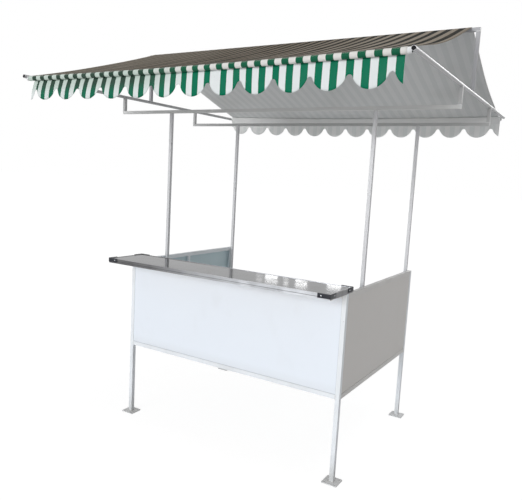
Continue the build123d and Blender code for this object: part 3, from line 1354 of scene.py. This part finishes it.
@dataclass
class Fixings:
    """Welds, bolts, screws and end caps that hold and close the stall's pieces.

    Attributes:
        thick_half: half the width of the booth's rails.
        thin_half: half the width of the stiles and of the counter's arms.
        thick_wall: wall of the legs, with the gap round a cap.
        thin_wall: wall of the thinner tubes, with the gap round a cap.
        foot_bead: radius of the beads round legs and posts.
        rail_bead: radius of the beads at the rails' ends.
        stile_bead: radius of the beads at the stiles' ends.
        arm_bead: radius of the beads at the arms.
        riser_bead: radius of the beads on the beams and under the ridge.
        cope_bead: radius of the beads against the round rails.
        cope: height of those over or under the middle of a rail.
        cap_depth: thickness of a cap.
        cap_edge: rounding of its edges.
        cap_sink: depth of its middle inside the tube's end.
        washer: radius and thickness of a washer.
        head: radius over the corners and thickness of a bolt's head.
        head_edge: rounding of a bolt's edges.
        screw_size: radius and height of a screw's head.
        screw_drop: depth of the screws under the guards' top.
        screw_inset: how far the screws are from the counter's corners.
        beads, caps, heads: the shapes that they are gathered in.
    """

    thick_half: float = 12.5 * MM
    thin_half: float = 10.0 * MM
    thick_wall: float = 1.7 * MM
    thin_wall: float = 1.4 * MM
    foot_bead: float = 2.4 * MM
    rail_bead: float = 1.6 * MM
    stile_bead: float = 1.5 * MM
    arm_bead: float = 1.8 * MM
    riser_bead: float = 1.9 * MM
    cope_bead: float = 2.0 * MM
    cope: float = 8.6 * MM
    cap_depth: float = 3.0 * MM
    cap_edge: float = 0.5 * MM
    cap_sink: float = 1.6 * MM
    washer: Span = (6.0 * MM, 1.2 * MM)
    head: Span = (5.0 * MM, 4.0 * MM)
    head_edge: float = 0.3 * MM
    screw_size: Span = (3.6 * MM, 2.0 * MM)
    screw_drop: float = 12.2 * MM
    screw_inset: float = 52.0 * MM
    beads: BMesh = field(default_factory=bmesh.new)
    caps: BMesh = field(default_factory=bmesh.new)
    heads: BMesh = field(default_factory=bmesh.new)

    def bead(self, centre: Vector, axis: Vector, half: float, size: float) -> None:
        """Adds a rippled weld bead round a square tube.

        Args:
            centre: middle of the joint.
            axis: direction of the tube.
            half: half the tube's width.
            size: radius of the bead.
        """
        shape = bmesh.new()
        corner = Matrix.Translation((half * math.sqrt(2), 0, 0)) @ Matrix.Rotation(math.pi / 2, 4, "X")
        bmesh.ops.create_circle(shape, segments=8, radius=size, matrix=corner)
        bmesh.ops.spin(
            shape, geom=shape.verts[:] + shape.edges[:], axis=(0, 0, 1), angle=2 * math.pi,
            steps=4, use_merge=True,
        )
        long_edges = [edge for edge in shape.edges if edge.calc_length() > half]
        bmesh.ops.subdivide_edges(shape, edges=long_edges, cuts=15)
        bmesh.ops.rotate(shape, verts=shape.verts, matrix=Matrix.Rotation(math.pi / 4, 3, "Z"))
        for vert in shape.verts:
            vert.co.z *= 1 + swell(vert.co.x - vert.co.y, (0.10, 2600.0, 0.0))
        bmesh.ops.recalc_face_normals(shape, faces=shape.faces)
        join(self.beads, shape, facing(centre, axis))

    def cap(self, end: Vector, outward: Vector, half: float) -> None:
        """Adds a flat cap that closes a square tube's end.

        Args:
            end: middle of the tube's end.
            outward: direction out of the tube.
            half: half the width of the tube's bore.
        """
        shape = bmesh.new()
        block = Matrix.Diagonal((2 * half, 2 * half, self.cap_depth, 1.0))
        bmesh.ops.create_cube(shape, size=1.0, matrix=block)
        soften(shape, shape.edges[:], self.cap_edge)
        join(self.caps, shape, facing(end - outward * self.cap_sink, outward))

    def bolt(self, seat: Vector, outward: Vector) -> None:
        """Adds a hexagon head on a washer.

        Args:
            seat: middle of the washer's seat.
            outward: direction out of the surface.
        """
        shape = bmesh.new()
        base = 0.0
        for (radius, depth), sides in ((self.washer, 32), (self.head, 6)):
            add_cylinder(shape, radius, depth, Matrix.Translation((0, 0, base + depth / 2)), sides)
            base += depth
        soften(shape, shape.edges[:], self.head_edge)
        join(self.heads, shape, facing(seat, outward))

    def screw(self, seat: Vector, outward: Vector) -> None:
        """Adds a domed head.

        Args:
            seat: middle of its seat.
            outward: direction out of the surface.
        """
        shape = bmesh.new()
        radius, rise = self.screw_size
        dome = Matrix.Diagonal((radius, radius, rise, 1.0))
        bmesh.ops.create_uvsphere(shape, u_segments=24, v_segments=12, radius=1.0, matrix=dome)
        bmesh.ops.bisect_plane(
            shape, geom=shape.verts[:] + shape.edges[:] + shape.faces[:], plane_co=(0, 0, 0),
            plane_no=(0, 0, 1), clear_inner=True,
        )
        join(self.heads, shape, facing(seat, outward))

    def weld_booth(self) -> None:
        """Welds the legs to their plates and to the rails between them."""
        for leg in LEGS:
            low, high = box_of(leg)
            centre, half = (low + high) / 2, (high.x - low.x) / 2
            self.bead(Vector((centre.x, centre.y, low.z)), UP, half, self.foot_bead)
            self.cap(Vector((centre.x, centre.y, high.z)), UP, half - self.thick_wall)
        for name in ("left", "right", "front"):
            along = RIGHT if name == "front" else Vector((0, 1, 0))
            for level in ("top", "bottom"):
                low, high = box_of(f"{name}_{level}_rail")
                centre, reach = (low + high) / 2, (high - low).dot(along) / 2
                for side, _ in SIDES:
                    self.bead(centre + along * side * reach, along, self.thick_half, self.rail_bead)
            low, high = box_of(f"{name}_stile")
            for z in (low.z, high.z):
                joint = Vector(((low.x + high.x) / 2, (low.y + high.y) / 2, z))
                self.bead(joint, UP, self.thin_half, self.stile_bead)

    def weld_canopy(self) -> None:
        """Welds the posts, beams, risers, rails and king posts, and caps the open ends."""
        rail = middle("right_end_rail")
        for row in ("front", "back"):
            low, high = box_of(f"{row}_beam")
            centre, half = (low + high) / 2, (high.z - low.z) / 2
            for side, name in SIDES:
                x = side * rail.x
                post = middle(f"{row}_{name}_post")
                self.bead(Vector((post.x, centre.y, low.z)), UP, half, self.foot_bead)
                self.bead(Vector((x, centre.y, high.z)), UP, half, self.riser_bead)
                self.bead(Vector((x, centre.y, rail.z - self.cope)), UP, half, self.cope_bead)
                self.cap(Vector((side * high.x, centre.y, centre.z)), RIGHT * side, half - self.thin_wall)
        low, high = box_of("ridge_bar")
        centre, half = (low + high) / 2, (high.z - low.z) / 2
        for side, _ in SIDES:
            x = side * rail.x
            self.bead(Vector((x, centre.y, rail.z + self.cope)), UP, half, self.cope_bead)
            self.bead(Vector((x, centre.y, low.z)), UP, half, self.riser_bead)
            self.cap(Vector((side * high.x, centre.y, centre.z)), RIGHT * side, half - self.thin_wall)

    def bolt_posts(self) -> None:
        """Bolts each post to the upper and lower rail beside it."""
        for row in ("front", "back"):
            for side, name in SIDES:
                low, high = box_of(f"{row}_{name}_post")
                face = low.x if side > 0 else high.x
                for level in ("top", "bottom"):
                    height = middle(f"{name}_{level}_rail").z
                    self.bolt(Vector((face, (low.y + high.y) / 2, height)), Vector((-side, 0, 0)))

    def finish_counter(self) -> None:
        """Screws the corner guards to the counter, and caps and welds the arms under it."""
        low, high = box_of("counter_corner_guards")
        height, inset = high.z - self.screw_drop, self.screw_inset
        for x, side in ends(low.x, high.x):
            for y, front in ends(low.y, high.y):
                self.screw(Vector((x, y - front * inset, height)), Vector((side, 0, 0)))
                self.screw(Vector((x - side * inset, y, height)), Vector((0, front, 0)))
        low, high = box_of("counter_arms")
        level = (low.z + high.z) / 2
        for x in (low.x + self.thin_half, (low.x + high.x) / 2, high.x - self.thin_half):
            self.cap(Vector((x, low.y, level)), Vector((0, -1, 0)), self.thin_half - self.thin_wall)
            self.bead(Vector((x, high.y, level)), Vector((0, 1, 0)), self.thin_half, self.arm_bead)

    def build(self, coat: Material, plate: Material) -> list[Object]:
        """Makes all the fixings.

        Args:
            coat: finish of the welds and caps.
            plate: finish of the bolts and screws.

        Returns:
            The pieces.
        """
        self.weld_booth()
        self.weld_canopy()
        self.bolt_posts()
        self.finish_counter()
        return [
            make_piece(self.beads, "weld_beads", Slot.WHITE_TUBE, (coat,), sharp=60.0),
            make_piece(self.caps, "tube_end_caps", Slot.WHITE_TUBE, (coat,)),
            make_piece(self.heads, "bolts_and_screws", Slot.COUNTER_TRIM, (plate,)),
        ]


# ---- studio ----------------------------------------------------------------------------------


@dataclass(frozen=True)
class Studio:
    """Pale floor, soft lamps, white surroundings and the camera.

    Attributes:
        sky: strength of the surroundings on the stall.
        key: strength of the front lamp.
        key_turn: turn of the front lamp round Z from straight ahead, in degrees, towards -X.
        key_rise: height of the front lamp over the horizon, in degrees.
        key_spread: angle that the front lamp fills, in degrees.
        top: strength of the lamp overhead.
        top_lean: lean of the overhead lamp from upright towards +X, in degrees.
        top_spread: angle that the overhead lamp fills, in degrees.
        rim: strength of the weak lamp behind the stall.
        rim_aim: direction from the stall to that lamp.
        rim_spread: angle that it fills, in degrees.
        front_tint: colour of the front lamp.
        gloss_lift: strength that the surroundings gain in a gloss.
        floor_radius: radius of the floor.
        floor_tone: colour of the floor's matt part.
        floor_glow: strength of its glow.
        floor_share: share of the glow where the floor is seen directly.
        glints: small soft lamps behind the stall that the counter mirrors, each with its
            X and Z place, width, height and brightness.
        glint_depth: Y place of those lamps.
        eye: place of the camera.
        look: turn of the camera about X, Y and Z, in degrees.
        lens: focal length in millimetres on a 36 mm sensor.
    """

    sky: float = 0.43
    key: float = 2.08
    key_turn: float = 5.0
    key_rise: float = 8.0
    key_spread: float = 30.0
    top: float = 0.50
    top_lean: float = 12.0
    top_spread: float = 34.0
    rim: float = 0.11
    rim_aim: tuple[float, float, float] = (0.12, 0.96, 0.26)
    rim_spread: float = 12.0
    front_tint: tuple[float, float, float] = (0.97, 0.985, 1.0)
    gloss_lift: float = 0.60
    floor_radius: float = 120.0
    floor_tone: Colour = (0.82, 0.82, 0.82, 1.0)
    floor_glow: float = 1.22
    floor_share: float = 0.72
    glints: tuple[tuple[float, float, float, float, float], ...] = (
        (-2.06, 1.885, 0.10, 0.05, 1.4),
        (-1.87, 1.845, 0.19, 0.06, 6.0),
        (-1.645, 1.87, 0.07, 0.07, 2.2),
        (-1.415, 1.85, 0.17, 0.05, 6.5),
        (-0.95, 1.81, 0.19, 0.04, 8.0),
    )
    glint_depth: float = 3.2
    eye: tuple[float, float, float] = (1.86153, -3.27584, 1.63029)
    look: tuple[float, float, float] = (82.70777, -3.16797, 31.58778)
    lens: float = 38.67

    def build(self) -> None:
        """Makes the whole studio."""
        self.make_world()
        self.make_floor()
        self.make_lamps()
        self.make_camera()
        bpy.context.scene.view_settings.view_transform = "Standard"

    def make_world(self) -> None:
        """Makes surroundings that look white, also in metal, and light the stall softly."""
        world = bpy.data.worlds.new("studio")
        world.use_nodes = True
        nodes = Nodes(world.node_tree)
        path = nodes.node("ShaderNodeLightPath").outputs
        seen = nodes.math("MAXIMUM", path["Is Camera Ray"], path["Is Transmission Ray"])
        strength = nodes.node("ShaderNodeMapRange")
        nodes.feed(strength.inputs["Value"], seen)
        nodes.feed(strength.inputs["To Min"], self.sky)
        lift = nodes.math("MULTIPLY", path["Is Glossy Ray"], self.gloss_lift)
        background = world.node_tree.nodes["Background"]
        nodes.feed(background.inputs["Color"], (1.0, 1.0, 1.0, 1.0))
        nodes.feed(background.inputs["Strength"], nodes.math("ADD", lift, strength.outputs[0]))
        bpy.context.scene.world = world

    def make_floor(self) -> None:
        """Makes a wide pale floor that keeps the stall's shadow."""
        shape = bmesh.new()
        bmesh.ops.create_circle(shape, cap_ends=True, segments=96, radius=self.floor_radius)
        mesh = bpy.data.meshes.new("floor")
        shape.to_mesh(mesh)
        shape.free()
        material = bpy.data.materials.new("floor")
        material.use_nodes = True
        material.node_tree.nodes.clear()
        nodes = Nodes(material.node_tree)
        path = nodes.node("ShaderNodeLightPath").outputs
        matt = nodes.node("ShaderNodeBsdfDiffuse")
        nodes.feed(matt.inputs["Color"], self.floor_tone)
        glow = nodes.node("ShaderNodeEmission")
        nodes.feed(glow.inputs["Strength"], self.floor_glow)
        mix = nodes.node("ShaderNodeMixShader")
        share = nodes.math("MULTIPLY", path["Is Camera Ray"], self.floor_share)
        for socket, value in zip(mix.inputs, (share, matt.outputs[0], glow.outputs[0])):
            nodes.feed(socket, value)
        nodes.feed(nodes.node("ShaderNodeOutputMaterial").inputs["Surface"], mix.outputs[0])
        mesh.materials.append(material)
        floor = bpy.data.objects.new("floor", mesh)
        bpy.context.scene.collection.objects.link(floor)

    def make_lamps(self) -> None:
        """Hangs a low front lamp, a weaker one overhead, a weak one behind and the glints."""
        level = Matrix.Rotation(math.radians(90 - self.key_rise), 4, "X")
        front = Matrix.Rotation(math.radians(-self.key_turn), 4, "Z") @ level
        above = Matrix.Rotation(math.radians(self.top_lean), 4, "Y")
        behind = facing(Vector(), Vector(self.rim_aim))
        self.lamp("front_lamp", self.key, self.key_spread, front).color = self.front_tint
        self.lamp("top_lamp", self.top, self.top_spread, above)
        self.lamp("rim_lamp", self.rim, self.rim_spread, behind)
        for x, z, width, height, brightness in self.glints:
            self.glint(Vector((x, self.glint_depth, z)), width, height, brightness)

    @staticmethod
    def hang(data: Light, place: Matrix) -> Object:
        """Puts a lamp in the scene.

        Args:
            data: the lamp.
            place: its transform.

        Returns:
            The object that holds it.
        """
        holder = bpy.data.objects.new(data.name, data)
        holder.matrix_world = place
        bpy.context.scene.collection.objects.link(holder)
        return holder

    def lamp(self, name: str, strength: float, spread: float, turn: Matrix) -> Light:
        """Adds a distant lamp.

        Args:
            name: the lamp's name.
            strength: its strength.
            spread: angle that it fills, in degrees.
            turn: its turn, from shining straight down.

        Returns:
            The lamp.
        """
        data = bpy.data.lights.new(name, "SUN")
        data.energy = strength
        data.angle = math.radians(spread)
        self.hang(data, turn)
        return data

    def glint(self, centre: Vector, width: float, height: float, brightness: float) -> None:
        """Adds a small upright soft lamp that faces the stall.

        Args:
            centre: its middle.
            width: its size along X.
            height: its size along Z.
            brightness: how bright its face is, 1 being white.
        """
        data = bpy.data.lights.new("glint_lamp", "AREA")
        data.shape = "RECTANGLE"
        data.size = width
        data.size_y = height
        data.energy = brightness * math.pi * width * height
        turn = Matrix.Rotation(math.radians(-90.0), 4, "X")
        self.hang(data, Matrix.Translation(centre) @ turn).visible_camera = False

    def make_camera(self) -> None:
        """Makes the camera, at a standing viewer's eye in front of the +X corner."""
        data = bpy.data.cameras.new("camera")
        data.sensor_width = 36.0
        data.lens = self.lens
        data.clip_end = 500.0
        camera = bpy.data.objects.new("camera", data)
        camera.location = self.eye
        camera.rotation_euler = tuple(math.radians(angle) for angle in self.look)
        bpy.context.scene.collection.objects.link(camera)
        bpy.context.scene.camera = camera


# ---- the stall -------------------------------------------------------------------------------


BOOTH_TUBES = (
    *LEGS, "left_top_rail", "front_top_rail", "left_bottom_rail", "front_bottom_rail",
    "left_stile", "right_stile", "front_stile", "counter_arms",
)
SIDE_RAILS = ("right_top_rail", "right_bottom_rail")
POSTS = ("front_left_post", "front_right_post", "back_left_post", "back_right_post")
BEAMS = ("front_beam",)
RISERS = ("front_risers", "back_risers", "back_beam")
END_RAILS = ("left_end_rail", "right_end_rail")
GABLE_TUBES = ("left_king_post", "right_king_post", "ridge_bar")


class Booth:
    """Legs, rails, infill sheets and the tubes of the upper frame."""

    def dress(self) -> None:
        """Gives the tubes, plates and sheets their finishes."""
        for nodes, finish in (
            (BOOTH_TUBES, PaintedSteel("booth_enamel", coat=paint(233, 237, 241))),
            # The coats from here to the gable tubes are the booth's white paint with painted shade in their
            # greys: the side rails match the side sheets, and the tubes of the frame above darken most where
            # the canopy shades them.
            (SIDE_RAILS, PaintedSteel("side_rail_painted_shade_enamel", coat=paint(213, 211, 209))),
            (POSTS, PaintedSteel("post_painted_shade_enamel", coat=paint(210, 210, 212))),
            (BEAMS, PaintedSteel("beam_painted_shade_enamel", coat=paint(212, 212, 211))),
            (RISERS, PaintedSteel("riser_painted_shade_enamel", coat=paint(186, 186, 186))),
            (END_RAILS, PaintedSteel("rail_painted_shade_enamel", coat=paint(176, 176, 178), roughness=0.14, sheen=1.0)),
            (GABLE_TUBES, PaintedSteel("gable_painted_shade_enamel", coat=paint(160, 160, 163), roughness=0.5)),
        ):
            made = finish.build()
            for node in nodes:
                dress(node, made)
        # The foot plates' coat is whiter than the booth's paint, as painted light on their tops.
        dress("foot_plates", PaintedSteel("foot_plate_painted_light_enamel", coat=paint(250, 252, 255)).build())
        # The side sheets' outer face is greyer than the front sheet's, as painted shade on the sides.
        for node, axis, outward, face in (
            ("left_panel", Axis.X, -1, paint(211, 208, 205)),
            ("right_panel", Axis.X, 1, paint(211, 208, 205)),
            ("front_panel", Axis.Y, -1, paint(232, 238, 246)),
        ):
            low = box_of(node.replace("panel", "bottom_rail"))[1].z
            far = box_of("front_right_leg")[0].x if axis is Axis.Y else OFF_STALL
            place = middle(node)[axis.value]
            sheet = PanelFinish(f"{node}_sheet", axis, place, outward, face, low=low, far=far)
            dress(node, sheet.build())


@dataclass
class CornerGuards:
    """Four plastic guards bent round the counter's corners, a little lower than its edge.

    Attributes:
        height: height of a guard.
        leg: length of a guard along each side.
        wall: thickness of its wall.
        rounding: radius of its outer edges.
    """

    height: float = 24.5 * MM
    leg: float = 72.0 * MM
    wall: float = 2.5 * MM
    rounding: float = 1.2 * MM

    def build(self, finish: Material) -> Object:
        """Makes the guards.

        Args:
            finish: finish of the plastic.

        Returns:
            The piece.
        """
        low, high = box_of("counter_corner_guards")
        shape = bmesh.new()
        for x, side in ends(low.x, high.x):
            for y, front in ends(low.y, high.y):
                self.add(shape, Vector((x, y, high.z)), side, front)
        piece = make_piece(shape, "corner_guards", Slot.BLACK_PLASTIC, (finish,))
        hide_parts("counter_corner_guards")
        return piece

    def add(self, shape: BMesh, corner: Vector, side: float, front: float) -> None:
        """Adds one guard.

        Args:
            shape: where it goes.
            corner: its outer top corner.
            side: 1 at the +X end, else -1.
            front: 1 at the +Y side, else -1.
        """
        guard = bmesh.new()
        bmesh.ops.create_cube(guard, size=1.0)
        bmesh.ops.scale(guard, vec=(self.leg, self.wall, self.height), verts=guard.verts)
        start = Vector((self.leg / 2, self.wall / 2, -self.height / 2))
        bmesh.ops.translate(guard, vec=start, verts=guard.verts)
        whole = guard.verts[:] + guard.edges[:] + guard.faces[:]
        bmesh.ops.bisect_plane(guard, geom=whole, plane_co=(self.wall, 0, 0), plane_no=(1, 0, 0))
        inner = [
            face for face in guard.faces
            if face.normal.y > 0.9 and face.calc_center_median().x < self.wall
        ]
        grown = bmesh.ops.extrude_face_region(guard, geom=inner)["geom"]
        end = [item for item in grown if isinstance(item, BMVert)]
        bmesh.ops.translate(guard, vec=(0.0, self.leg - self.wall, 0.0), verts=end)
        bmesh.ops.delete(guard, geom=inner, context="FACES_ONLY")
        bend = [edge for edge in guard.edges if max(vert.co.to_2d().length for vert in edge.verts) < 1e-6]
        soften(guard, bend, 3.5 * self.rounding, 5)
        sharp = [edge for edge in guard.edges if edge.calc_face_angle() > 0.5]
        soften(guard, sharp, 0.4 * self.rounding)
        place = Matrix.Translation(corner) @ Matrix.Diagonal((-side, -front, 1.0, 1.0))
        bmesh.ops.transform(guard, matrix=place, verts=guard.verts)
        bmesh.ops.recalc_face_normals(guard, faces=guard.faces)
        join(shape, guard, Matrix.Identity(4))


class Counter:
    """Board, metal top, edge trims and corner guards."""

    def dress(self) -> None:
        """Gives the counter's CAD pieces their finishes."""
        steel = BrushedMetal(
            "counter_steel", Axis.X, roughness=0.05, rim=0.6, line_depth=0.004 * MM,
        )
        # The long trims carry painted reflection, darker towards the -X end.
        long_trim = BrushedMetal(
            "trim_metal_long", Axis.X, tint=paint(214, 216, 221), roughness=0.26,
            dark_reflection_end=paint(112, 112, 114), groove=middle("counter_front_trim").z - 2.0 * MM,
        )
        # The side trims' darker tint is painted shade on the same metal as the long trims.
        side_trim_painted_shade = BrushedMetal(
            "trim_metal_side_painted_shade", Axis.Y, tint=paint(150, 150, 152), roughness=0.3,
        )
        dress("counter_board", CounterBoard("counter_chipboard").build())
        dress("counter_sheet", steel.build())
        for finish, pair in ((long_trim, ("front", "back")), (side_trim_painted_shade, ("left", "right"))):
            made = finish.build()
            for side in pair:
                dress(f"counter_{side}_trim", made)

    def build(self) -> Object:
        """Makes the corner guards.

        Returns:
            The piece.
        """
        return CornerGuards().build(MouldedPlastic("guard_plastic").build())


@dataclass
class Canopy:
    """Eave bars, plugs, fixings and all the cloth.

    Attributes:
        cover_first: middle of the cover's first white stripe.
        cover_white: the cover's white, greyer than a valance's, with painted shade for the wrapped bars.
        cover_green: the cover's green, duller than a valance's, with painted shade for the wrapped bars.
        front_first: middle of the front valance's first white stripe.
        back_first: middle of the back valance's first white stripe.
        valance_pitch: one white and one green stripe together, on a valance's outer side.
        valance_join: place where two lengths of a valance's outer cloth are sewn together.
        valance_gap: how far the stripes start later beyond that join.
        valance_selvedge: place at the -X end that a valance is white up to.
        valance_hem: length down a valance to its stitched line.
        valance_lining: length down a valance's inner side that is lined.
    """

    cover_first: float = -1.125
    cover_white: Colour = paint(218, 216, 212)
    cover_green: Colour = paint(24, 92, 66)
    front_first: float = -1.0746
    back_first: float = -1.11
    valance_pitch: float = 70.8 * MM
    valance_join: float = 0.21
    valance_gap: float = 27.8 * MM
    valance_selvedge: float = -1.11
    valance_hem: float = 9.0 * MM
    valance_lining: float = 52.0 * MM

    def __post_init__(self) -> None:
        """Sets the line that each eave bar hangs in."""
        span = box_of("front_bar")[1].x
        self.front_bow = Bow(span=span, sag=10.5 * MM, lift=1.5 * MM, tilt=4.5 * MM)
        self.back_bow = Bow(span=span, sag=12.5 * MM, lift=0.0, tilt=-6.5 * MM)

    def build_frame(self) -> list[Object]:
        """Makes the eave bars, the plugs and the fixings.

        Returns:
            The pieces.
        """
        tube = PaintedSteel("eave_bar_enamel").build()
        bows = {"front_bar": self.front_bow, "back_bar": self.back_bow}
        bars = [EaveBar(node, bow).build(tube) for node, bow in bows.items()]
        plastic = MouldedPlastic("plug_plastic", body=paint(26, 26, 28), roughness=0.6, sheen=0.1)
        plugs = EndPlugs(bows).build(plastic.build())
        coat = PaintedSteel("weld_enamel", coat=paint(214, 214, 214), edge_radius=0.4 * MM)
        return [*bars, plugs, *Fixings().build(coat.build(), PlatedSteel("zinc_plate").build())]

    def build_cover(self) -> Object:
        """Makes the cover.

        Returns:
            The piece.
        """
        cover = CanopyCover(self.front_bow, self.back_bow)
        stripes = Stripes(self.cover_first)
        open_length = cover.crest + cover.slope
        outside = StripedCloth(
            "cover_cloth", stripes, shaded_top_reach=open_length, hem=open_length + 8.0 * MM,
            white=self.cover_white, green=self.cover_green,
        )
        # The cover's backing keeps the greyer default colours, as painted shade under the canopy.
        inside = ClothBacking("cover_backing", stripes, lining=-OFF_STALL)
        return cover.build(outside.build(), inside.build())

    def build_valance(self, valance: ScallopedValance, first: float) -> Object:
        """Makes one valance.

        Args:
            valance: its shape.
            first: middle of its first white stripe.

        Returns:
            The piece.
        """
        pieced = Stripes(first, self.valance_pitch, self.valance_join, self.valance_gap)
        outside = StripedCloth(
            f"{valance.name}_face", pieced, shaded_top_reach=-1.0, selvedge=self.valance_selvedge,
            hem=self.valance_hem,
        )
        inside = ClothBacking(
            f"{valance.name}_backing", Stripes(first), lining=self.valance_lining,
            lit=paint(252, 252, 251), dim=paint(241, 243, 242), lined=paint(238, 238, 237),
        )
        return valance.build(outside.build(), inside.build())

    def build(self) -> list[Object]:
        """Makes the whole canopy.

        Returns:
            The pieces.
        """
        front = ScallopedValance(
            "front_valance", "front_bar", -1, pitch=182.7 * MM, left_part=28.6 * MM, flat_area=0.2834,
            bow=self.front_bow, blown=9.0 * MM, skew=7.0 * MM, shear=34.0 * MM, trim=2.0 * MM,
            narrow_end=True,
        )
        back = ScallopedValance(
            "back_valance", "back_bar", 1, pitch=187.0 * MM, left_part=8.0 * MM, flat_area=0.2885,
            bow=self.back_bow,
        )
        return [
            *self.build_frame(),
            self.build_cover(),
            self.build_valance(front, self.front_first),
            self.build_valance(back, self.back_first),
        ]


def report(*pieces: Object) -> None:
    """Logs pieces, each with the faces of its mesh."""
    for piece in pieces:
        log.info("%s: %d faces", piece.name, len(piece.data.polygons))


def main() -> None:
    """Builds the stall's looks in order."""
    logging.basicConfig(level=logging.INFO, format="%(message)s")
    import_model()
    Booth().dress()
    counter = Counter()
    counter.dress()
    report(counter.build())
    report(*Canopy().build())
    Studio().build()


if __name__ == "__main__":
    main()
